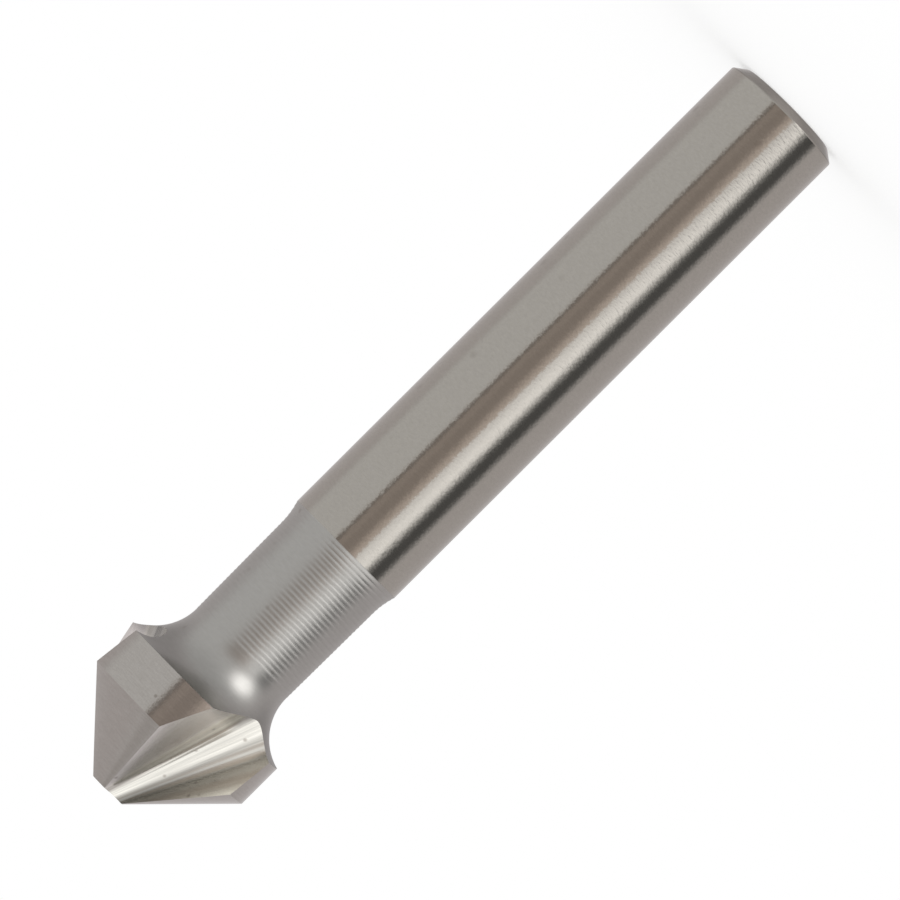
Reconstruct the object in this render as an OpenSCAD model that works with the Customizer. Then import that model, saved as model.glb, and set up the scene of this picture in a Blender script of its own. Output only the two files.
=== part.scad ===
// Countersink bit: one piece of tool steel with a 90 degree cutting cone,
// three ground flutes, a turned neck and a plain round shank.
// It stands on the flat end of its shank with the cutting tip up.
// The origin is the centre of the shank's end face, and +Z runs to the tip.

/* [Overall] */
// Length from the end of the shank to the flat at the tip
overall_len = 56; // [46:0.5:90]

/* [Cutting head] */
// Diameter across the cutting corners
head_d = 12.6; // [10.8:0.05:14]
// Full angle of the cutting cone
point_angle = 90; // [80:1:110]
// Diameter of the flat at the tip
tip_flat_d = 2.7; // [2.2:0.1:3.4]
// Length of the straight lands behind the cone
land_len = 2.86; // [2:0.02:4.5]
// Radius of the hollow arc turned behind the head
back_arc_r = 3.4; // [2.6:0.1:4.2]
// Sideways shift of each land's centre, which drops the land behind its cutting edge
relief_shift = 0.17; // [0.05:0.01:0.35]
// Share of that drop which the cone takes too
cone_relief = 1; // [0.1:0.1:1.5]

/* [Flutes] */
// Number of flutes, and of cutting edges
flute_count = 3; // [2:1:4]
// Rake of the cutting face across the axis
radial_rake = 15.7; // [4:0.1:22]
// Rake of the cutting face along the axis
axial_rake = 12.7; // [4:0.1:18]
// Slope of the flute floor to the axis
floor_slope = 22.5; // [19:0.1:27]
// Turn of the flute floor about the axis
floor_turn = 4.3; // [0:0.1:10]
// Radius of the flute's root at the tip
root_tip_r = 0.55; // [0.3:0.05:0.8]
// Radius of the flute's root at the back of the head
root_back_r = 1.4; // [1:0.05:1.7]

/* [Neck] */
// Diameter of the neck where it leaves the head
neck_front_d = 7.38; // [6.6:0.02:7.7]
// Diameter of the neck where it meets the shank's shoulder
neck_rear_d = 7.5; // [6.8:0.02:7.8]
// Radius of the hollow arc between the neck and the shank
shoulder_arc_r = 5; // [3:0.1:8]

/* [Shank] */
// Diameter of the shank
shank_d = 8; // [7.9:0.01:9]
// Length of the ground shank, without its shoulder
shank_len = 36.3; // [28:0.1:40]
// Width of the chamfer at the end of the shank, along the radius
end_chamfer_w = 0.7; // [0.2:0.05:1]
// Height of the chamfer at the end of the shank, along the axis
end_chamfer_h = 0.54; // [0.2:0.01:1]

/* [Hidden] */
$fn = 144;
// Stock that the blank's head carries before it is ground
grinding_stock = 0.6;
// Share by which the root cone is larger than one that only touches the flute's faces
root_bite = 1.004;

head_r = head_d / 2;
tip_r = tip_flat_d / 2;
neck_front_r = neck_front_d / 2;
neck_rear_r = neck_rear_d / 2;
shank_r = shank_d / 2;

// Depths are measured from the tip's flat towards the shank
cone_slope = tan(point_angle / 2);
apex_depth = -tip_r / cone_slope;
cone_depth = apex_depth + head_r / cone_slope;
back_depth = cone_depth + land_len;
back_drop = min(head_r - neck_front_r, back_arc_r);
neck_depth = back_depth + arc_run(back_arc_r, back_drop);
shank_depth = overall_len - shank_len;
shoulder_depth = shank_depth - arc_run(shoulder_arc_r, shank_r - neck_rear_r);
sector_depth = neck_depth - 0.5 * arc_run(back_arc_r, back_drop);

// Long enough to pass right through the head on every side
reach = 3 * head_d;

// Planes of one flute, whose cutting edge is in the plane y = 0 at the corner
cutting_corner = [head_r, 0, cone_depth];
cone_apex = [0, 0, apex_depth];
rake_normal = unit([-tan(radial_rake), -1, tan(axial_rake)]);
floor_normal = unit([1, tan(floor_turn), -tan(floor_slope)]);

// The line where the cutting face and the floor would meet without a root radius
root_line = unit(cross(rake_normal, floor_normal));
down_rake = unit(cross(rake_normal, root_line));
to_floor = floor_normal * (cone_apex - cutting_corner) / (floor_normal * down_rake);
root_foot = cutting_corner + to_floor * down_rake;

// The root is a cone that touches both faces and grows towards the shank
root_growth = (root_back_r - root_tip_r) / back_depth;
root_apex_depth = -root_tip_r / root_growth;
root_apex = root_foot + root_line * (root_apex_depth - root_foot.z) / root_line.z;
into_flute = unit(rake_normal + floor_normal);
face_share = into_flute * rake_normal;
root_lean = atan(root_growth * root_line.z / (face_share - root_growth * into_flute.z));
root_axis = cos(root_lean) * root_line + sin(root_lean) * into_flute;
root_half_angle = asin(sin(root_lean) * face_share);
rake_touch = root_axis - (root_axis * rake_normal) * rake_normal;
floor_touch = root_axis - (root_axis * floor_normal) * floor_normal;
mouth_cross = unit(cross(floor_touch, rake_touch));
mouth_normal = mouth_cross * sign(mouth_cross * into_flute);

function unit(v) = v / norm(v);

// Length along the axis of an arc that leaves the axis direction and rises by drop
function arc_run(r, drop) = sqrt(r * r - (r - drop) * (r - drop));

// Turns +Z onto a direction
module along(direction) {
    tilt = acos(direction.z / norm(direction));
    rotate([0, tilt, atan2(direction.y, direction.x)])
        children();
}

// Everything on the normal's side of a plane through a point
module half_space(point, normal) {
    translate(point)
        along(normal)
            translate([-reach, -reach, 0])
                cube([2 * reach, 2 * reach, 2 * reach]);
}

// Half outline of the turned blank: radius along x, depth from the tip along y
module head_outline() {
    stock_r = head_r + grinding_stock;
    arc_centre_r = neck_front_r + back_arc_r;
    difference() {
        square([stock_r, neck_depth]);
        translate([arc_centre_r, neck_depth])
            circle(r = back_arc_r);
        // A head wider than the arc reaches has a flat back outside it
        if (stock_r > arc_centre_r)
            translate([arc_centre_r, neck_depth - back_arc_r])
                square([stock_r, 2 * back_arc_r]);
    }
}

module neck_outline() {
    polygon([
        [0, neck_depth],
        [neck_front_r, neck_depth],
        [neck_rear_r, shoulder_depth],
        [0, shoulder_depth]
    ]);
}

module shank_outline() {
    difference() {
        polygon([
            [0, shoulder_depth],
            [shank_r, shoulder_depth],
            [shank_r, overall_len - end_chamfer_h],
            [shank_r - end_chamfer_w, overall_len],
            [0, overall_len]
        ]);
        translate([neck_rear_r + shoulder_arc_r, shoulder_depth])
            circle(r = shoulder_arc_r);
    }
}

module turned_blank() {
    rotate_extrude() {
        head_outline();
        neck_outline();
        shank_outline();
    }
}

// Wedge about the axis that holds one land and reaches into the flutes beside it
module land_sector() {
    lead = 20;
    width = 360 / flute_count + 10;
    back_step = tip_r / 4;
    rotate([0, 0, width / 2 - lead])
        translate([-back_step, 0, -1])
            linear_extrude(height = sector_depth + 1)
                polygon([
                    [0, 0],
                    [reach * cos(width / 2), -reach * sin(width / 2)],
                    [reach, -reach * sin(width / 2)],
                    [reach, reach * sin(width / 2)],
                    [reach * cos(width / 2), reach * sin(width / 2)]
                ]);
}

// One land: a leaning cone and a shifted cylinder, which fall away behind the edge
module ground_land() {
    heel_r = head_r - cone_relief * relief_shift;
    cone_lean = point_angle / 2 - atan(heel_r / (cone_depth - apex_depth));
    intersection() {
        translate(cone_apex)
            rotate([cone_lean, 0, 0])
                cylinder(h = reach, r1 = 0, r2 = reach * cone_slope);
        land_sector();
        translate([0, -relief_shift, -1])
            cylinder(h = sector_depth + 1, r = head_r);
    }
}

// What the grinding of the lands leaves: three lands, and all that lies behind the head
module ground_envelope() {
    for (i = [0 : flute_count - 1])
        rotate([0, 0, i * 360 / flute_count])
            ground_land();
    translate([0, 0, sector_depth - 0.2])
        cylinder(h = overall_len, r = head_d);
}

// Space that one flute takes out: a floor, a cutting face and the round root between
module flute() {
    intersection() {
        half_space(cutting_corner, rake_normal);
        half_space(cone_apex, floor_normal);
        half_space(root_apex, mouth_normal);
    }
    translate(root_apex)
        along(root_axis)
            cylinder(h = reach, r1 = 0, r2 = root_bite * reach * tan(root_half_angle));
}

module countersink_bit() {
    color([0.62, 0.61, 0.59])
        translate([0, 0, overall_len])
            rotate([180, 0, 0])
                difference() {
                    intersection() {
                        turned_blank();
                        ground_envelope();
                    }
                    for (i = [0 : flute_count - 1])
                        rotate([0, 0, i * 360 / flute_count])
                            flute();
                }
}

countersink_bit();
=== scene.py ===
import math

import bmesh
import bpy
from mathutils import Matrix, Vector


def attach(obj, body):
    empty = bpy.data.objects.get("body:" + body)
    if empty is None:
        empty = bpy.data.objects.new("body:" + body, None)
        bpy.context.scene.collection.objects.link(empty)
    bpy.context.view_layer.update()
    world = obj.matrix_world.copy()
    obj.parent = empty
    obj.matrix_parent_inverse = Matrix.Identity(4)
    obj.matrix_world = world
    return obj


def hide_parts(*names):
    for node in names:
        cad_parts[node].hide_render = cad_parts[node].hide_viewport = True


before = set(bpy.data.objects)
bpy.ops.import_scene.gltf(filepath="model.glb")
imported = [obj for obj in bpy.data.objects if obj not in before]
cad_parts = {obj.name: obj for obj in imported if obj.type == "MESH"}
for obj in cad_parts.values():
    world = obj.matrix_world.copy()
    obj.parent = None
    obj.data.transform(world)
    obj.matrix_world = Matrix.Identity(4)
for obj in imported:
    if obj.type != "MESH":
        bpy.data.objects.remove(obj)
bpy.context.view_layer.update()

# %% [markdown]
# # A three-flute countersink bit
# This bit is one bar of tool steel. A lathe turns its outline, and grinding
# wheels then grind the lands of its head and cut the flutes between them. The
# notebook makes it in the same order: turn, grind, flute, finish.
# The imported model is the fixed frame. It is kept in the scene, and hidden
# once the new piece stands in its place.

# %% [markdown]
# ## Sizes
# All shapes are drawn in millimetres, as a toolmaker would, and the finished
# mesh is scaled to metres once. Depths run from the flat at the tip towards
# the shank, because every grinding setting is measured from the tip.

# %% Sizes in millimetres
OVERALL_LENGTH = 56.0
HEAD_RADIUS = 6.3
TIP_RADIUS = 1.35
LAND_LENGTH = 2.86
BACK_ARC_RADIUS = 3.4
NECK_FRONT_RADIUS = 3.69
NECK_REAR_RADIUS = 3.75
SHOULDER_ARC_RADIUS = 5.0
SHANK_RADIUS = 4.0
SHANK_LENGTH = 36.3
CHAMFER_WIDTH = 0.7
CHAMFER_HEIGHT = 0.54
FLUTES = 3
LAND_SPACING = 360 / FLUTES
MM = 0.001


def arc_run(radius, rise):
    """Length along the axis of an arc that leaves the axis direction and rises by rise."""
    return math.sqrt(radius**2 - (radius - rise) ** 2)


# %% [markdown]
# The cone stands at 45 degrees to the axis, so its apex lies as far in front
# of the tip's flat as that flat's radius, and its corner as far behind the
# apex as the head's radius. The other depths follow from the lengths and from
# the arcs that join the turned stretches.

# %% Depths from the tip
APEX_DEPTH = -TIP_RADIUS
CORNER_DEPTH = APEX_DEPTH + HEAD_RADIUS
BACK_DEPTH = CORNER_DEPTH + LAND_LENGTH
NECK_DEPTH = BACK_DEPTH + arc_run(BACK_ARC_RADIUS, HEAD_RADIUS - NECK_FRONT_RADIUS)
SHANK_DEPTH = OVERALL_LENGTH - SHANK_LENGTH
SHOULDER_DEPTH = SHANK_DEPTH - arc_run(SHOULDER_ARC_RADIUS, SHANK_RADIUS - NECK_REAR_RADIUS)
CHAMFER_DEPTH = OVERALL_LENGTH - CHAMFER_HEIGHT
print("depths of the head's corner %.2f, its back %.2f, the neck %.2f and the shank %.2f" % (
    CORNER_DEPTH, BACK_DEPTH, NECK_DEPTH, SHANK_DEPTH))

# %% [markdown]
# ## The turned outline
# The lathe tool leaves fine rings on the neck, a third of a millimetre apart
# and two hundredths of a millimetre high. They could be a bump in the
# material, but they are part of what the lathe turned and show in the steel's
# reflections, so the outline carries them as shallow hollows.

# %% The neck and its rings
RING_PITCH = 0.303
RING_HEIGHT = 0.02
RING_STEPS = 6
FIRST_RING_SHARE = 0.4
RING_FADE_LENGTH = 0.5


def neck_radius(depth):
    """The neck's radius: a slight taper, then the arc up to the shank."""
    if depth > SHOULDER_DEPTH:
        run = depth - SHOULDER_DEPTH
        return NECK_REAR_RADIUS + SHOULDER_ARC_RADIUS - math.sqrt(SHOULDER_ARC_RADIUS**2 - run**2)
    share = (depth - NECK_DEPTH) / (SHOULDER_DEPTH - NECK_DEPTH)
    return NECK_FRONT_RADIUS + share * (NECK_REAR_RADIUS - NECK_FRONT_RADIUS)


def ring_height(depth):
    """Height of the rings at a depth: ridges between hollows, which fade in at the front."""
    fade = min(1.0, max(0.0, FIRST_RING_SHARE + (depth - NECK_DEPTH) / RING_FADE_LENGTH))
    across = 2 * (depth / RING_PITCH % 1.0) - 1
    return fade * RING_HEIGHT * across**2


print("rings on the neck: about %d" % ((SHANK_DEPTH - NECK_DEPTH) / RING_PITCH))

# %% [markdown]
# Each point of the outline is a radius and a depth. It starts on the axis at
# the shank's end and runs to the tip. The chamfer's corners could be left
# sharp, but a real edge is broken by a few hundredths of a millimetre and
# catches the light, so each corner gets two points. The hollow between two
# rings is drawn with six.

# %% Shank and neck
SHANK_ROWS = 6
EDGE_BREAK = 0.03

outline = [
    (0.0, OVERALL_LENGTH),
    (SHANK_RADIUS - CHAMFER_WIDTH - EDGE_BREAK, OVERALL_LENGTH),
    (SHANK_RADIUS - CHAMFER_WIDTH + EDGE_BREAK, OVERALL_LENGTH - EDGE_BREAK),
    (SHANK_RADIUS - EDGE_BREAK, CHAMFER_DEPTH + EDGE_BREAK),
    (SHANK_RADIUS, CHAMFER_DEPTH - EDGE_BREAK),
]
for row in range(1, SHANK_ROWS + 1):
    depth = CHAMFER_DEPTH + (SHANK_DEPTH - CHAMFER_DEPTH) * row / SHANK_ROWS
    outline.append((SHANK_RADIUS, depth))

ring_step = RING_PITCH / RING_STEPS
ring_rows = range(int(NECK_DEPTH / ring_step) + 1, int(SHANK_DEPTH / ring_step))
for row in reversed(ring_rows):
    depth = row * ring_step
    outline.append((neck_radius(depth) + ring_height(depth), depth))
print("points of the shank's and the neck's outline:", len(outline))

# %% [markdown]
# The head's outline has three stretches: the hollow arc behind it, the land
# and the cone. Each row of points remembers its stretch and how far along it
# lies, because the grinding moves whole rows afterwards.

# %% The head's rows
ARC_ROWS = 26
LAND_ROWS = 3
CONE_ROWS = 5
DEPTH_DIGITS = 4
stretch_of_row = {}


def remember(depth, stretch, share):
    """Notes where a row of points lies on the head."""
    stretch_of_row[round(depth, DEPTH_DIGITS)] = (stretch, share)


def on_back_arc(share, land_radius):
    """Radius and depth on the back arc, from the neck at share 0 to the land at share 1."""
    centre_radius = NECK_FRONT_RADIUS + BACK_ARC_RADIUS
    sweep = share * math.acos((centre_radius - land_radius) / BACK_ARC_RADIUS)
    return (
        centre_radius - BACK_ARC_RADIUS * math.cos(sweep),
        NECK_DEPTH - BACK_ARC_RADIUS * math.sin(sweep),
    )


for row in range(ARC_ROWS):
    radius, depth = on_back_arc(row / ARC_ROWS, HEAD_RADIUS)
    outline.append((radius, depth))
    remember(depth, "arc", row / ARC_ROWS)
for row in range(LAND_ROWS):
    depth = BACK_DEPTH - LAND_LENGTH * row / LAND_ROWS
    outline.append((HEAD_RADIUS, depth))
    remember(depth, "land", row / LAND_ROWS)
for row in range(CONE_ROWS + 1):
    depth = CORNER_DEPTH * (1 - row / CONE_ROWS)
    outline.append((depth - APEX_DEPTH, depth))
    remember(depth, "cone", row / CONE_ROWS)
outline.append((0.0, 0.0))
print("points of the whole outline:", len(outline))

# %% [markdown]
# ## Turning the blank
# A spin of the outline about the tool's axis is what a lathe does. A Screw
# modifier would give the same shape, but the next step moves single points of
# it, so the spin is made in the mesh itself. A full spin merges its last copy
# with its first, and the points on the axis are merged too, so the blank is
# closed.

# %% Spin the outline
TURN_STEPS = 270
AXIS_MERGE = 1e-5


def at_depth(x, y, depth):
    """A point given by its place across the axis and its depth from the tip."""
    return Vector((x, y, OVERALL_LENGTH - depth))


blank = bmesh.new()
path = [blank.verts.new(at_depth(radius, 0.0, depth)) for radius, depth in outline]
wires = [blank.edges.new(pair) for pair in zip(path, path[1:])]
bmesh.ops.spin(
    blank,
    geom=path + wires,
    axis=(0, 0, 1),
    angle=math.tau,
    steps=TURN_STEPS,
    use_merge=True,
)
bmesh.ops.remove_doubles(blank, verts=blank.verts, dist=AXIS_MERGE)
bmesh.ops.recalc_face_normals(blank, faces=blank.faces)
print("turned blank:", len(blank.verts), "points and", len(blank.faces), "faces")

# %% [markdown]
# Every stretch of the tool has its own finish. They could be told apart by
# masks in one material, but a material for each band of faces keeps each
# finish simple, and a face only needs its depth to find its own.

# %% Give each band its finish
END, SHANK, NECK, LAND, FLUTE = range(5)

for face in blank.faces:
    depth = OVERALL_LENGTH - face.calc_center_median().z
    if depth > CHAMFER_DEPTH:
        face.material_index = END
    elif depth > SHANK_DEPTH:
        face.material_index = SHANK
    elif depth > BACK_DEPTH:
        face.material_index = NECK
    else:
        face.material_index = LAND
print("faces of the end, shank, neck and land:", [
    sum(face.material_index == band for face in blank.faces) for band in (END, SHANK, NECK, LAND)])

# %% [markdown]
# ## Grinding the lands
# Behind each cutting edge the land is ground away a little, or the tool would
# rub instead of cut. On the real bit the wheel swings about a shifted centre.
# Booleans with shifted cylinders and leaning cones would do the same, but
# they leave slivers where so little is taken off. So the head's points are
# moved instead: the land's radius is that of a circle whose centre is shifted
# sideways, and the cone leans with it. The jump from one land to the next
# falls inside the flutes, where it is cut away.

# %% How far each land drops
LAND_SHIFT = 0.17
CONE_RELIEF = 1.0
JUMP_START, JUMP_END = 76.0, 98.0


def behind_edge(point):
    """Sine of the angle behind the cutting edge, with a smooth jump inside each flute."""
    turn = math.degrees(math.atan2(-point.y, point.x)) % LAND_SPACING
    if turn > JUMP_END:
        turn -= LAND_SPACING
    if turn <= JUMP_START:
        return math.sin(math.radians(turn))
    share = (turn - JUMP_START) / (JUMP_END - JUMP_START)
    start = math.sin(math.radians(JUMP_START))
    end = math.sin(math.radians(JUMP_END - LAND_SPACING))
    return start + (end - start) * share


def relieved(stretch, share, drop):
    """Radius and depth of a row's point where the land has dropped by so much of its shift."""
    land_radius = HEAD_RADIUS - LAND_SHIFT * drop
    if stretch == "arc":
        return on_back_arc(share, land_radius)
    back_depth = on_back_arc(1, land_radius)[1]
    cone_growth = 1 - CONE_RELIEF * LAND_SHIFT * drop / HEAD_RADIUS
    corner_depth = APEX_DEPTH + land_radius / cone_growth
    if stretch == "land":
        return land_radius, back_depth + (corner_depth - back_depth) * share
    depth = corner_depth * (1 - share)
    return (depth - APEX_DEPTH) * cone_growth, depth


print("a land drops by %.3f mm up to the flute behind it" % (
    LAND_SHIFT * math.sin(math.radians(JUMP_START))))

# %% [markdown]
# The points on the axis have no direction to move in, so they stay. So do the
# shank and the neck, whose rows aren't remembered.

# %% Relieve the lands
ON_AXIS = 0.03

moved = 0
for vert in blank.verts:
    row = stretch_of_row.get(round(OVERALL_LENGTH - vert.co.z, DEPTH_DIGITS))
    across = Vector((vert.co.x, vert.co.y, 0))
    if row is None or across.length < ON_AXIS:
        continue
    radius, depth = relieved(*row, behind_edge(vert.co))
    vert.co = across.normalized() * radius + at_depth(0, 0, depth)
    moved += 1
print("points moved by the grinding:", moved)

# %% [markdown]
# ## Cutting a flute
# A flute has a flat cutting face, a flat floor and a round root between them
# that widens towards the shank. It could be cut with two half spaces and a
# cone, one after the other. But both flats and the root meet in one point in
# front of the tip, so the whole flute is a straight-sided cone over one
# cross-section, and one cutter is enough: a section behind the head, drawn to
# a point. The two flats come from the angles that a tool grinder is set to.

# %% The flute's planes
RADIAL_RAKE = math.radians(15.7)
AXIAL_RAKE = math.radians(12.7)
FLOOR_SLOPE = math.radians(22.5)
FLOOR_TURN = math.radians(4.3)
ROOT_TIP_RADIUS = 0.55
ROOT_BACK_RADIUS = 1.4

corner = at_depth(HEAD_RADIUS, 0, CORNER_DEPTH)
cone_apex = at_depth(0, 0, APEX_DEPTH)
rake = Vector((-math.tan(RADIAL_RAKE), 1, -math.tan(AXIAL_RAKE))).normalized()
floor = Vector((1, -math.tan(FLOOR_TURN), math.tan(FLOOR_SLOPE))).normalized()

root = rake.cross(floor).normalized()
if root.z > 0:
    root.negate()
down_rake = rake.cross(root).normalized()
foot = corner + down_rake * (floor.dot(cone_apex - corner) / floor.dot(down_rake))
growth = (ROOT_BACK_RADIUS - ROOT_TIP_RADIUS) / BACK_DEPTH
start_depth = -ROOT_TIP_RADIUS / growth
flute_apex = foot + root * ((OVERALL_LENGTH - start_depth - foot.z) / root.z)
print("the flute's faces meet at", [round(c, 2) for c in flute_apex])

# %% [markdown]
# The root's circle touches both flats. Its axis leans away from their common
# line, into the flute, and everything else in the section follows from it.

# %% The root's axis
CUTTER_LENGTH = 26.0

inward = (rake + floor).normalized()
face_share = inward.dot(rake)
fall = -root.z
lean = math.atan(growth * fall / (face_share + growth * inward.z))
root_axis = math.cos(lean) * root + math.sin(lean) * inward
centre = root_axis * CUTTER_LENGTH


def on_face(normal):
    """Where the root's circle touches a flat, from the cutter's apex."""
    touch = root_axis - root_axis.dot(normal) * normal
    return touch * (CUTTER_LENGTH / touch.dot(root_axis))


rake_touch = on_face(rake) - centre
floor_touch = on_face(floor) - centre
turn_axis = rake_touch.cross(floor_touch).normalized()
away = -(inward - inward.dot(root_axis) * root_axis)
print("the root's axis leans by %.2f degrees, and the section's circle has a radius of %.2f mm" % (
    math.degrees(lean), rake_touch.length))

# %% [markdown]
# The section starts far out on the cutting face, runs round the root on the
# side that faces the metal, and ends far out on the floor.

# %% The flute's cross-section
ROOT_STEPS = 22
CUTTER_REACH = 90.0

root_turn = rake_touch.angle(floor_touch)
if rake_touch.lerp(floor_touch, 0.5).dot(away) < 0:
    root_turn -= math.tau


def far_out(touch):
    """A point far out on a flat, away from the root."""
    out = turn_axis.cross(touch).normalized()
    if out.dot(away) > 0:
        out.negate()
    return centre + touch + out * CUTTER_REACH


section = [far_out(rake_touch)]
for step in range(ROOT_STEPS + 1):
    spoke = rake_touch.copy()
    spoke.rotate(Matrix.Rotation(root_turn * step / ROOT_STEPS, 3, turn_axis))
    section.append(centre + spoke)
section.append(far_out(floor_touch))
print("points of the section: %d, of which the root turns by %.1f degrees" % (
    len(section), math.degrees(root_turn)))

# %% [markdown]
# The section becomes a face, the face is extruded and its copy is drawn
# together to the point. What is left is a closed cone with straight sides.

# %% Draw the section to a point
def make_cutter(turn):
    """One flute's cutter, turned about the tool's axis."""
    cutter = bmesh.new()
    base = cutter.faces.new([cutter.verts.new(flute_apex + point) for point in section])
    drawn = bmesh.ops.extrude_face_region(cutter, geom=[base], use_keep_orig=True)["geom"]
    tops = [item for item in drawn if isinstance(item, bmesh.types.BMVert)]
    bmesh.ops.pointmerge(cutter, verts=tops, merge_co=flute_apex)
    bmesh.ops.recalc_face_normals(cutter, faces=cutter.faces)
    for face in cutter.faces:
        face.material_index = FLUTE
    bmesh.ops.rotate(cutter, verts=cutter.verts, matrix=Matrix.Rotation(turn, 3, "Z"))
    return cutter


def as_object(name, work):
    """A bmesh as a new object of the scene."""
    mesh = bpy.data.meshes.new(name)
    work.to_mesh(mesh)
    work.free()
    made = bpy.data.objects.new(name, mesh)
    bpy.context.scene.collection.objects.link(made)
    return made


bit = as_object("countersink_body", blank)
cutters = [as_object("flute_cutter", make_cutter(math.tau * i / FLUTES)) for i in range(FLUTES)]
print("cutters:", len(cutters), "with", len(cutters[0].data.polygons), "faces each")

# %% [markdown]
# ## Grinding the flutes into the blank
# A Boolean modifier takes each cutter out of the blank, as the wheel does. A
# bisect would cut the flats but not the round root. The modifiers' result is
# kept as the mesh, so the cutters can go. The faces that a cutter leaves keep
# the cutter's finish, and for that all objects hold the same list of
# materials, in the order of the numbers END to FLUTE.

# %% Cut the three flutes
finishes = [bpy.data.materials.new(name) for name in (
    "steel_chamfered", "steel_ground_round", "steel_turned", "steel_land", "steel_flute")]
for each in [bit] + cutters:
    for finish in finishes:
        each.data.materials.append(finish)
for cutter in cutters:
    cut = bit.modifiers.new("flute", "BOOLEAN")
    cut.operation = "DIFFERENCE"
    cut.solver = "EXACT"
    cut.material_mode = "INDEX"
    cut.object = cutter
bpy.context.view_layer.update()
ground = bpy.data.meshes.new_from_object(bit.evaluated_get(bpy.context.evaluated_depsgraph_get()))
bit.modifiers.clear()
bit.data = ground
for cutter in cutters:
    bpy.data.objects.remove(cutter)
print("after the flutes:", len(ground.vertices), "points and", len(ground.polygons), "faces")

# %% [markdown]
# ## Smooth faces and crisp edges
# Round faces are shaded smooth and the ground edges stay sharp: a bevel would
# soften them, but a cutting edge is the one edge that nobody breaks. The mesh
# is scaled to metres here, once. A Weighted Normal modifier lets the large
# flat faces keep their own direction beside the round ones.

# %% Finish the mesh
EDGE_ANGLE = math.radians(20)
MERGE_DISTANCE = 2e-4
FLAT_FACE_WEIGHT = 80

work = bmesh.new()
work.from_mesh(bit.data)
bmesh.ops.remove_doubles(work, verts=work.verts, dist=MERGE_DISTANCE)
bmesh.ops.dissolve_degenerate(work, edges=work.edges, dist=MERGE_DISTANCE)
for face in work.faces:
    face.smooth = True
for edge in work.edges:
    edge.smooth = edge.is_manifold and edge.calc_face_angle(math.pi) < EDGE_ANGLE
open_edges = sum(not edge.is_manifold for edge in work.edges)
bmesh.ops.scale(work, verts=work.verts, vec=(MM, MM, MM))
volume = work.calc_volume()
work.to_mesh(bit.data)
work.free()
weighted = bit.modifiers.new("flat faces first", "WEIGHTED_NORMAL")
weighted.weight = FLAT_FACE_WEIGHT
weighted.keep_sharp = True
print("open edges: %d, volume %.1f cubic millimetres" % (open_edges, volume / MM**3))

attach(bit, "root")
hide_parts("countersink_bit")

# %% [markdown]
# ## Steel
# Every face of this tool is the same bare steel. What differs is how each
# was machined: the shank is ground with a fine grain, the neck is turned,
# the lands are ground across and the flutes are ground along. A material's
# maths could be wired node by node, but one small class lets it be written as
# plain expressions, which are easier to read and to change.

# %% Shader maths
class Signal:
    """A value inside a node tree. Adding or multiplying signals adds the nodes."""

    def __init__(self, tree, socket=None):
        self.tree = tree
        self.socket = socket

    def node(self, kind, settings=None, values=None, output=0):
        """Adds a node: its settings first, then the values or signals of its sockets."""
        made = self.tree.nodes.new(kind)
        for name, value in (settings or {}).items():
            setattr(made, name, value)
        for name, value in (values or {}).items():
            if isinstance(value, Signal):
                self.tree.links.new(value.socket, made.inputs[name])
            else:
                made.inputs[name].default_value = value
        return Signal(self.tree, made.outputs[output]) if made.outputs else self

    def maths(self, operation, *terms):
        """A Math node with this operation on the given terms."""
        return self.node("ShaderNodeMath", {"operation": operation}, dict(enumerate(terms)))

    def __add__(self, other):
        return self.maths("ADD", self, other)

    def __radd__(self, other):
        return self.maths("ADD", other, self)

    def __sub__(self, other):
        return self.maths("SUBTRACT", self, other)

    def __rsub__(self, other):
        return self.maths("SUBTRACT", other, self)

    def __mul__(self, other):
        return self.maths("MULTIPLY", self, other)

    def __rmul__(self, other):
        return self.maths("MULTIPLY", other, self)

    def __truediv__(self, other):
        return self.maths("DIVIDE", self, other)

    def step(self, low, high):
        """0 below low and 1 above high, with a soft change between them."""
        return self.node(
            "ShaderNodeMapRange",
            {"interpolation_type": "SMOOTHSTEP"},
            {"Value": self, "From Min": low, "From Max": high},
        )

    def within(self, rise, fall):
        """1 between two soft edges, each given by where it starts and where it ends."""
        return self.step(*rise) * (1 - self.step(*fall))

    def between(self, low, high, soft):
        """1 between low and high, falling to 0 over the same soft width on both sides."""
        half = soft / 2
        return self.within((low - half, low + half), (high - half, high + half))


def empty_tree(owner):
    """The owner's node tree with every node taken out, as a signal to build from."""
    owner.use_nodes = True
    owner.node_tree.nodes.clear()
    return Signal(owner.node_tree)


print("shader maths is ready")

# %% [markdown]
# All patterns are read from the tool's own coordinates in millimetres, so
# that a grain of so many lines to the millimetre is written as that number.
# A picture wrapped round the tool would need a seam, and these don't. Most
# grains are drawn out around the tool. The place is squeezed across the axis
# for that, which makes the pattern change slowly in that direction.

# %% Places on the tool
def in_millimetres(start):
    """The place on the tool, in millimetres from the middle of the shank's end."""
    place = start.node("ShaderNodeTexCoord", None, None, "Object")
    return start.node(
        "ShaderNodeVectorMath", {"operation": "SCALE"}, {0: place, "Scale": 1 / MM})


def split(place):
    """The three numbers of a place."""
    return [place.node("ShaderNodeSeparateXYZ", None, {0: place}, axis) for axis in range(3)]


def joined(start, x, y, z):
    """A place made of three numbers."""
    return start.node("ShaderNodeCombineXYZ", None, {0: x, 1: y, 2: z})


def drawn_round(start, place, squeeze):
    """A place that draws a pattern out around the tool."""
    x, y, z = split(place)
    return joined(start, x * squeeze, y * squeeze, z)


def angle_of(start, y, x):
    """The angle in degrees of a point that is given by two numbers."""
    return start.maths("ARCTAN2", y, x) * (180 / math.pi)


def noise(place, scale, detail=2.0, rough=0.5):
    """Cloudy noise from 0 to 1."""
    return place.node("ShaderNodeTexNoise", None, {
        "Vector": place, "Scale": scale, "Detail": detail, "Roughness": rough})


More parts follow.
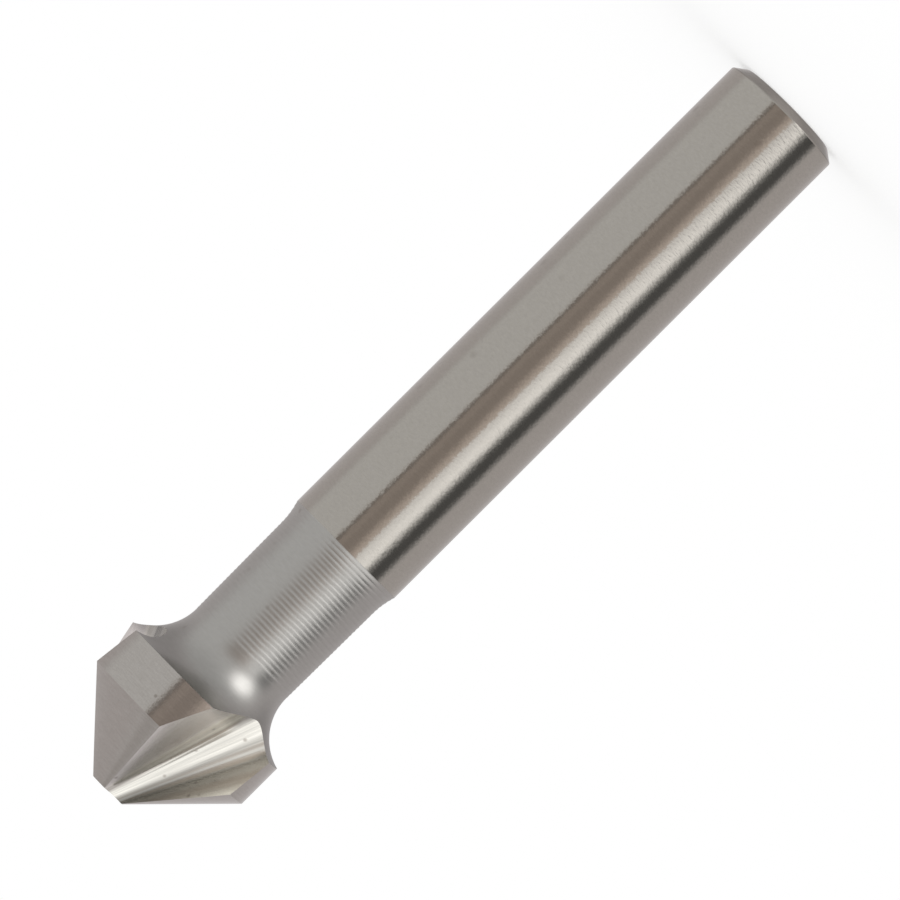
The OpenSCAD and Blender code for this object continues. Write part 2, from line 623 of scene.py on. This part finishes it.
def between_colours(start, share, first, second):
    """A colour between two, by a share from 0 to 1."""
    return start.node(
        "ShaderNodeMix", {"data_type": "RGBA"}, {0: share, 6: first, 7: second}, 2)


print("a place is scaled by %d to millimetres" % (1 / MM))

# %% [markdown]
# Bare steel is a metal with a grey colour, a low roughness and a relief. Small
# brown stains lie on all of it, as on any tool that has been held. They could
# be placed one by one, but a cell texture scatters them: each cell has a spot
# in its middle and a chance, and only the cells with a high chance show it.

# %% Bare steel and its stains
STAIN = (0.20, 0.17, 0.145, 1)
SPOT_EDGE = (0.05, 0.16)
SPOT_CHANCE = (0.55, 0.8)


def steel_surface(start, colour, roughness, height):
    """Bare steel with a colour, a roughness and a relief in millimetres."""
    bump = start.node("ShaderNodeBump", None, {"Height": height, "Distance": MM})
    steel = start.node("ShaderNodeBsdfPrincipled", None, {
        "Base Color": colour, "Metallic": 1.0, "Roughness": roughness, "Normal": bump})
    start.node("ShaderNodeOutputMaterial", None, {"Surface": steel})


def stains(place, spacing, strength):
    """Small stains: the strength in a few spots of the surface and 0 everywhere else."""
    cells = {"Vector": place, "Scale": 1 / spacing}
    distance = place.node("ShaderNodeTexVoronoi", None, cells)
    chance = split(place.node("ShaderNodeTexVoronoi", None, cells, "Color"))[0]
    return (1 - distance.step(*SPOT_EDGE)) * chance.step(*SPOT_CHANCE) * strength


print("a stain's colour:", STAIN[:3])

# %% [markdown]
# ## Ground shank
# A centreless grinder leaves the shank with a fine, even grain that runs a
# little around the tool. It is a low bump and a faint change of tone, both
# about a seventh of a millimetre wide. Roughness alone would blur the
# reflections as much, but it would lose the grain that shows at their edges.
# The chamfered end has the same finish.

# %% Ground shank
GROUND_ROUGHNESS = 0.13
SHANK_TONES = (0.405, 0.382, 0.348, 1), (0.465, 0.44, 0.40, 1)
SHANK_SQUEEZE = 0.45
SHANK_GRAIN = 7.5
SHANK_GRAIN_HEIGHT = 0.007
SHANK_STAINS = {"spacing": 2.2, "strength": 0.25}


def ground_round(material):
    start = empty_tree(material)
    place = in_millimetres(start)
    grain = noise(drawn_round(start, place, SHANK_SQUEEZE), SHANK_GRAIN, 1.0)
    steel = between_colours(start, grain, *SHANK_TONES)
    colour = between_colours(start, stains(place, **SHANK_STAINS), steel, STAIN)
    steel_surface(start, colour, GROUND_ROUGHNESS, grain * SHANK_GRAIN_HEIGHT)


ground_round(finishes[END])
ground_round(finishes[SHANK])
print("nodes of the ground shank:", len(finishes[SHANK].node_tree.nodes))

# %% [markdown]
# ## Ground lands
# The lands and the cone are ground across, so their grain is drawn out much
# further, into fine lines around the tool. The stains lie on the cylindrical
# lands. The cone has no stains, but a band close to the heel is painted
# darker in the stain's colour, as painted shade for the darker reflection
# there. That band is found by the angle behind the cutting edge, which
# starts again at each land.

# %% Ground lands
LAND_TONES = (0.375, 0.352, 0.325, 1), (0.515, 0.49, 0.46, 1)
LAND_SQUEEZE = 0.12
LAND_LINES, LAND_GRAIN = 11.0, 8.0
LINES_IN_TONE = 0.6
LAND_LINE_HEIGHT = 0.003
LAND_STAINS = {"spacing": 0.9, "strength": 0.6}
PAINTED_SHADE_BAND = (50, 58, 6)
PAINTED_SHADE_STRENGTH = 0.22
CONE_END = (CORNER_DEPTH, CORNER_DEPTH + 0.1)


def ground_across(material):
    start = empty_tree(material)
    place = in_millimetres(start)
    lines = noise(drawn_round(start, place, LAND_SQUEEZE), LAND_LINES, 2.0)
    grain = noise(place, LAND_GRAIN, 1.0)
    steel = between_colours(
        start, lines * LINES_IN_TONE + grain * (1 - LINES_IN_TONE), *LAND_TONES)
    x, y, z = split(place)
    behind_cone = (OVERALL_LENGTH - z).step(*CONE_END)
    behind = start.maths("FLOORED_MODULO", angle_of(start, 0 - y, x), LAND_SPACING)
    # Painted shade: a darker band on the cone close to the heel, in the stain's colour.
    painted_shade_by_heel = behind.between(*PAINTED_SHADE_BAND) * (1 - behind_cone)
    stains_and_painted_shade = stains(place, **LAND_STAINS) * behind_cone + painted_shade_by_heel * PAINTED_SHADE_STRENGTH
    colour = between_colours(start, stains_and_painted_shade, steel, STAIN)
    steel_surface(
        start, colour, GROUND_ROUGHNESS, lines * LAND_LINE_HEIGHT + grain * LAND_LINE_HEIGHT)


ground_across(finishes[LAND])
print("nodes of the ground lands:", len(finishes[LAND].node_tree.nodes))

# %% [markdown]
# ## Turned neck
# The neck and the hollow behind the head are left as the lathe made them. The
# rings are in the mesh already, so the material only adds what is finer than
# they are: faint lines around the tool, and a roughness that makes the whole
# neck look matt beside the ground shank.

# %% Turned neck
TURNED_ROUGHNESS = 0.34
NECK_TONES = (0.39, 0.378, 0.358, 1), (0.47, 0.46, 0.44, 1)
NECK_SQUEEZE = 0.2
NECK_LINES, NECK_GRAIN = 9.0, 5.0
NECK_LINES_IN_TONE = 0.7
NECK_LINE_HEIGHT, NECK_GRAIN_HEIGHT = 0.002, 0.001
NECK_STAINS = {"spacing": 1.4, "strength": 0.3}


def turned(material):
    start = empty_tree(material)
    place = in_millimetres(start)
    lines = noise(drawn_round(start, place, NECK_SQUEEZE), NECK_LINES)
    grain = noise(place, NECK_GRAIN)
    steel = between_colours(
        start, lines * NECK_LINES_IN_TONE + grain * (1 - NECK_LINES_IN_TONE), *NECK_TONES)
    colour = between_colours(start, stains(place, **NECK_STAINS), steel, STAIN)
    steel_surface(
        start, colour, TURNED_ROUGHNESS, grain * NECK_GRAIN_HEIGHT + lines * NECK_LINE_HEIGHT)


turned(finishes[NECK])
print("nodes of the turned neck:", len(finishes[NECK].node_tree.nodes))

# %% [markdown]
# ## Ground flutes
# A form wheel runs along each flute and leaves streaks from the tip to the
# back, which spread as the flute widens. The streaks could be laid with a UV
# map, but the flute is a cone, so a place in it is simply a place across it
# divided by the distance from the cone's apex. Lines of constant quotient are
# then straight and meet in the apex, as the wheel's do. The place is turned
# into the first flute beforehand, so that all three flutes share one pattern.

# %% Places in a flute
FIRST_FLUTE_START = -35.0


def flute_place(start, place):
    """Where a point lies in its own flute: across it, beside it, and its way along the root."""
    x, y = split(place)[:2]
    turns = start.maths("ARCTAN2", y, x) * (FLUTES / math.tau)
    number = start.maths("FLOOR", turns - FIRST_FLUTE_START / LAND_SPACING)
    own = start.node("ShaderNodeVectorRotate", {"rotation_type": "Z_AXIS"}, {
        "Vector": place, "Angle": number * (-math.tau / FLUTES)})
    offset = start.node("ShaderNodeVectorMath", {"operation": "SUBTRACT"}, {
        0: own, 1: tuple(flute_apex)})

    def part(axis):
        return start.node("ShaderNodeVectorMath", {"operation": "DOT_PRODUCT"}, {
            0: offset, 1: tuple(axis)}, "Value")

    into_metal = away.normalized()
    to_floor_side = root_axis.cross(into_metal)
    across, beside, along = part(into_metal), part(to_floor_side), part(root_axis)
    return across / along, beside / along, along


print("each flute has its share of the turn from %d to %d degrees" % (
    FIRST_FLUTE_START, FIRST_FLUTE_START + LAND_SPACING))

# %% [markdown]
# The flute is the brightest ground surface of the tool, and its base colour
# carries painted light and shade in place of its reflections: painted shade
# on the cutting side near the tip, painted light there towards the back and
# on the floor side, a painted highlight along a thin line at the floor's edge,
# painted shade on the heel side near the tip, and a painted dark patch where
# the flute runs out at the back of the floor. Those places are told apart by
# the turn about the root in degrees, from the cutting side through the root
# to the floor side, and by the depth from the tip.

# %% Painted light and shade of the flutes
# Turns about the root, in degrees
CUTTING_SIDE_END = (-28, 12)
STREAKED = (-30, 108, 24)
HOLLOW_ACROSS = (20, 105)
FLOOR_SIDE = (52, 75)
PAINTED_HIGHLIGHT_TURNS = (109, 114, 4)
FLOOR_EDGE = (111, 116)
HEEL_SIDE = (116, 130)

# Depths from the tip
TOWARDS_BACK = (1.0, 8.5)
BEHIND_TIP = (0.5, 3.0)
RUN_OUT, RUN_OUT_END = (7.3, 8.3), (8.4, 9.0)

# Shares of painted light and shade that each place gains or loses
PAINTED_SHADE_CUTTING_SIDE, PAINTED_LIGHT_AT_BACK = 0.45, 0.82
PAINTED_LIGHT_FLOOR, PAINTED_HIGHLIGHT_GAIN = 0.3, 0.14
PAINTED_SHADE_RUN_OUT, MORE_PAINTED_SHADE_AT_END = 0.6, 0.15
PAINTED_SHADE_HEEL = 0.3


# Painted light and shade: these levels brighten and darken the flute's base colour in place of its
# reflections.
def flute_painted_light(turn, depth):
    """The painted light and shade at each place of a flute, as a level around 1."""
    to_back = depth.step(*TOWARDS_BACK)
    cutting_side = 1 - turn.step(*CUTTING_SIDE_END)
    # Painted shade on the cutting side near the tip, and painted light there towards the back.
    tone_with_painted_light = 1 - cutting_side * (PAINTED_SHADE_CUTTING_SIDE - PAINTED_LIGHT_AT_BACK * to_back)
    # Painted shade: a darker patch where the flute runs out at the back of the floor.
    painted_run_out_shade = PAINTED_SHADE_RUN_OUT * depth.step(*RUN_OUT) + MORE_PAINTED_SHADE_AT_END * depth.step(*RUN_OUT_END)
    # Painted light on the floor side behind the tip.
    painted_floor_light = PAINTED_LIGHT_FLOOR * depth.step(*BEHIND_TIP)
    tone_with_painted_light = tone_with_painted_light + turn.step(*FLOOR_SIDE) * (painted_floor_light - painted_run_out_shade)
    # A painted highlight along a thin line at the floor's edge.
    tone_with_painted_light = tone_with_painted_light + PAINTED_HIGHLIGHT_GAIN * turn.between(*PAINTED_HIGHLIGHT_TURNS)
    # Painted shade on the heel side near the tip.
    return tone_with_painted_light - PAINTED_SHADE_HEEL * turn.step(*HEEL_SIDE) * (1 - to_back)


print("depths of the dull patch: from %.1f to %.1f mm" % (RUN_OUT[0], BACK_DEPTH))

# %% [markdown]
# Streaks, furrows and fine lines are three scales of the same drawn-out
# noise. Streaks and fine lines change the tone, and furrows are a low bump.
# They are clear in the root and on the floor, and fade towards the cutting
# edge and the heel. A slight hollow across the root bends its reflections.

# %% Streaks and finish of the flutes
FLUTE_ROUGHNESS = 0.2
FLUTE_BRIGHTNESS = 0.64
BLACK = (0, 0, 0, 1)
YELLOW_POLISH, GREY_POLISH = (1, 0.973, 0.9, 1), (1, 0.965, 0.93, 1)
FLUTE_STAINS = {"spacing": 1.1, "strength": 0.5}
STREAKS = {"scale": 70.0, "detail": 3.0, "rough": 0.6}
FURROWS = {"scale": 30.0, "detail": 2.0}
FINE_LINES = {"scale": 260.0, "detail": 1.0}
STREAK_DRIFT = 0.002
FAINT_STREAKS, CLEARER_STREAKS = 0.2, 0.65
FINE_CONTRAST = 0.1
FURROW_HEIGHT = 0.0014
ROOT_HOLLOW = -0.048


def ground_flute(material):
    start = empty_tree(material)
    place = in_millimetres(start)
    across, beside, along = flute_place(start, place)
    turn = angle_of(start, beside, across)
    depth = OVERALL_LENGTH - split(place)[2]
    streak_place = joined(start, across, beside, along * STREAK_DRIFT)
    streaks, furrows, fine = (
        noise(streak_place, **pattern) for pattern in (STREAKS, FURROWS, FINE_LINES))
    lined = FAINT_STREAKS + CLEARER_STREAKS * turn.between(*STREAKED)
    brushed = 1 + (streaks - 0.5) * lined + (fine - 0.5) * FINE_CONTRAST
    polish = between_colours(start, turn.step(*FLOOR_EDGE), YELLOW_POLISH, GREY_POLISH)
    # The flute's base colour gets its painted light and shade here, with its streaks.
    tone_with_painted_light = flute_painted_light(turn, depth) * brushed * FLUTE_BRIGHTNESS
    steel = between_colours(start, tone_with_painted_light, BLACK, polish)
    colour = between_colours(start, stains(place, **FLUTE_STAINS), steel, STAIN)
    hollow = turn.step(*HOLLOW_ACROSS) * along * ROOT_HOLLOW
    steel_surface(
        start, colour, FLUTE_ROUGHNESS, hollow + furrows * along * lined * FURROW_HEIGHT)


ground_flute(finishes[FLUTE])
print("nodes of the ground flutes:", len(finishes[FLUTE].node_tree.nodes))

# %% [markdown]
# ## Camera
# The photograph looks at the tool from the side with a long lens, and the
# picture is turned so that the tool lies across it from corner to corner. The
# camera could be aimed by a constraint, but its turn is easier to state: three
# directions, of which one points back from the tool, and the other two are
# the picture's right and up.

# %% The camera's directions
VIEW_TURN = math.radians(-62.5)
VIEW_TILT = math.radians(1.034)
PICTURE_TWIST = math.radians(0.105)

towards_camera = Vector((math.cos(VIEW_TURN), math.sin(VIEW_TURN), 0))
across_tool = Vector((math.sin(VIEW_TURN), -math.cos(VIEW_TURN), 0))
down_tool = Vector((0, 0, -1))
along = math.cos(VIEW_TILT) * down_tool + math.sin(VIEW_TILT) * towards_camera
backward = math.cos(VIEW_TILT) * towards_camera - math.sin(VIEW_TILT) * down_tool
picture_along = math.cos(PICTURE_TWIST) * along - math.sin(PICTURE_TWIST) * across_tool
picture_across = math.sin(PICTURE_TWIST) * along + math.cos(PICTURE_TWIST) * across_tool
right = (picture_along + picture_across).normalized()
up = (picture_along - picture_across).normalized()
print("the camera looks along", [round(c, 3) for c in -backward])

# %% [markdown]
# The lens follows from the scale of the picture, which is so many pixels to
# the millimetre of the tool, and from the distance, which the faint
# perspective of the photograph gives.

# %% The camera
PICTURE = 900
PIXELS_PER_MM = 17.17
VIEW_DISTANCE = 431.16
AIM_DEPTH = 28.0
AIM_ALONG, AIM_ACROSS = 0.055, 0.18
SENSOR = 36.0

place = (
    at_depth(0, 0, AIM_DEPTH)
    + VIEW_DISTANCE * backward
    + AIM_ALONG * picture_along
    + AIM_ACROSS * picture_across
)
lens = bpy.data.cameras.new("camera")
lens.sensor_width = SENSOR
lens.lens = PIXELS_PER_MM * VIEW_DISTANCE / PICTURE * SENSOR
lens.clip_start = 0.01
lens.clip_end = 20
camera = bpy.data.objects.new("camera", lens)
turn = Matrix((right, up, backward)).transposed().to_4x4()
camera.matrix_world = Matrix.Translation(place * MM) @ turn
bpy.context.scene.collection.objects.link(camera)
bpy.context.scene.camera = camera
print("camera at", [round(c, 4) for c in camera.location], "with a lens of %.0f mm" % lens.lens)

# %% [markdown]
# ## Studio
# Polished steel shows its surroundings more than itself, so the surroundings
# are half of its look. Lamps and cards could stand round the tool, but each
# would also light the floor and change the background. So the world is the
# studio: plain white for the floor and the background, and a painted room for
# what the steel reflects. A place in that room is given by two angles in
# degrees: to the side, from the photograph's camera round the tool's axis, and
# up, towards the tip's end.

# %% Directions in the studio
world = bpy.data.worlds.new("studio")
bpy.context.scene.world = world
start = empty_tree(world)
direction = start.node("ShaderNodeTexCoord", None, None, "Generated")


def part_along(axis):
    """How far the direction points along an axis."""
    return start.node(
        "ShaderNodeVectorMath",
        {"operation": "DOT_PRODUCT"},
        {0: direction, 1: tuple(axis)},
        "Value",
    )


side_angle = angle_of(start, part_along(across_tool), part_along(towards_camera))
rise_angle = start.maths("ARCSINE", part_along(-down_tool)) * (180 / math.pi)
height = start.maths("ABSOLUTE", rise_angle)


def near_level(limit, soft):
    """1 where the room is about level with the tool, up to a height on both sides."""
    return 1 - height.step(limit - soft / 2, limit + soft / 2)


def oval(side, rise, half_side, half_rise, soft):
    """1 inside an oval patch of the studio, falling to 0 over a soft rim."""
    across = (side_angle - side) * (1 / half_side)
    over = (rise_angle - rise) * (1 / half_rise)
    return 1 - (across * across + over * over).step(1 - soft, 1 + soft)


print("the studio's directions need", len(world.node_tree.nodes), "nodes")

# %% [markdown]
# The room's walls are pale. One wall is a little brighter, it is darker
# straight below the tool, and darkest low down behind it.

# %% The room
WALL_LEVEL = 0.66
WALL_GAIN = 0.12
SHADE_BELOW, SHADE_BEHIND = 0.1, 0.32

bright_wall = side_angle.between(-100, 10, 16) * rise_angle.between(-40, 60, 30)
below = (0 - rise_angle).step(45, 90)
behind_tool = 1 - side_angle.between(-110, 110, 40)
low_behind = behind_tool * rise_angle.between(-62, -16, 24)
room = WALL_LEVEL + WALL_GAIN * bright_wall
room = room * (1 - SHADE_BELOW * below)
room = room * (1 - SHADE_BEHIND * low_behind)
print("the walls' level: %.2f, and %.2f at the bright one" % (WALL_LEVEL, WALL_LEVEL + WALL_GAIN))

# %% [markdown]
# A long shank shows the studio as bands along it, and each band of the
# photograph is a patch of this room. Two soft lights stand far off, one high
# and one low, and show in the flutes and in the hollow behind the head. A
# strip light hangs beside the camera, the camera's own side of the room is
# dim, and a dark gap lies beyond the strip. They are laid over the walls in
# that order, so that a later one covers an earlier one. Last comes a darker
# line at the dim side's edge.

# %% Lights, the dim side and the gap
HIGH_LIGHT_LEVEL = 1.38
LOW_LIGHT_LEVEL = 2.9
STRIP_LEVEL, STRIP_GAIN = 1.18, 0.36
DIM_LEVEL, DIM_GAIN, DIM_BAND_GAIN = 0.4, 0.4, 0.05
GAP_LEVEL = 0.12
EDGE_LINE_DEPTH = 0.4

high_light = side_angle.within((-8, 26), (56, 100)) * rise_angle.between(16, 62, 8)
low_light = oval(side=44, rise=-36, half_side=24, half_rise=17, soft=0.8)
strip = side_angle.within((18, 22), (42, 63)) * near_level(7, 6)
strip_level = STRIP_LEVEL + STRIP_GAIN * side_angle.step(20, 40)
dim = side_angle.within((-29, -20), (18, 22)) * rise_angle.between(-14, 18, 8)
dim_band = side_angle.between(-20, -9, 4)
dim_level = DIM_LEVEL + DIM_GAIN * side_angle.step(2, 20) + DIM_BAND_GAIN * dim_band
gap = side_angle.within((42, 63), (73, 90)) * near_level(14, 8)
edge_line = side_angle.between(-25, -20, 1.5) * near_level(10, 8)


def painted(under, level, patch):
    """The room with a patch of another level laid over it."""
    return under + (level - under) * patch


seen = painted(room, HIGH_LIGHT_LEVEL, high_light)
seen = painted(seen, LOW_LIGHT_LEVEL, low_light)
seen = painted(seen, strip_level, strip)
seen = painted(seen, dim_level, dim)
seen = painted(seen, GAP_LEVEL, gap)
seen = seen * (1 - EDGE_LINE_DEPTH * edge_line)
print("levels of the two far lights, the strip, the dim side and the gap:", [
    HIGH_LIGHT_LEVEL, LOW_LIGHT_LEVEL, STRIP_LEVEL, DIM_LEVEL, GAP_LEVEL])

# %% [markdown]
# Only glossy rays see the room, and all other rays see plain white of
# strength 1, so the floor and the background stay white. The dim side is
# faintly brown, and the walls far round the tool are faintly pink.

# %% The world's light
WHITE = (1, 1, 1, 1)
FAR_TINT = (1, 0.955, 0.96, 1)
DIM_TINT = (1, 0.87, 0.79, 1)

rays = start.node("ShaderNodeLightPath", None, None, "Is Glossy Ray")
level = 1 + rays * (seen - 1)
far_round = 1 - side_angle.between(-103, 82, 20)
tint = between_colours(start, rays * far_round, WHITE, FAR_TINT)
tint = between_colours(start, rays * dim, tint, DIM_TINT)
light = start.node("ShaderNodeBackground", None, {"Color": tint, "Strength": level})
start.node("ShaderNodeOutputWorld", None, {"Surface": light})
print("the world's nodes:", len(world.node_tree.nodes))

# %% [markdown]
# ## Floor
# The photograph's ground is plain white. A matt floor alone would come out a
# little grey, and more light would wash out the steel. So part of what the
# camera sees of the floor glows white, and the matt rest keeps the tool's
# shadow. Reflected rays pass through it, so the steel sees the whole studio.

# %% The floor
FLOOR_SIZE = 1.2
FLOOR_GLOW = 0.6

sheet = bmesh.new()
bmesh.ops.create_grid(sheet, x_segments=1, y_segments=1, size=FLOOR_SIZE)
table = as_object("floor", sheet)
paint = bpy.data.materials.new("pale floor")
start = empty_tree(paint)
matt = start.node("ShaderNodeBsdfDiffuse", None, {"Color": WHITE})
clear = start.node("ShaderNodeBsdfTransparent")
bright = start.node("ShaderNodeEmission", None, {"Color": WHITE, "Strength": 1.0})
camera_ray = start.node("ShaderNodeLightPath", None, None, "Is Camera Ray")
glossy = start.node("ShaderNodeLightPath", None, None, "Is Glossy Ray")
lit = start.node("ShaderNodeMixShader", None, {0: camera_ray * FLOOR_GLOW, 1: matt, 2: bright})
both = start.node("ShaderNodeMixShader", None, {0: glossy, 1: lit, 2: clear})
start.node("ShaderNodeOutputMaterial", None, {"Surface": both})
table.data.materials.append(paint)
bpy.context.scene.view_settings.view_transform = "Standard"
print("the floor is %.1f m wide" % (2 * max(vert.co.x for vert in table.data.vertices)))
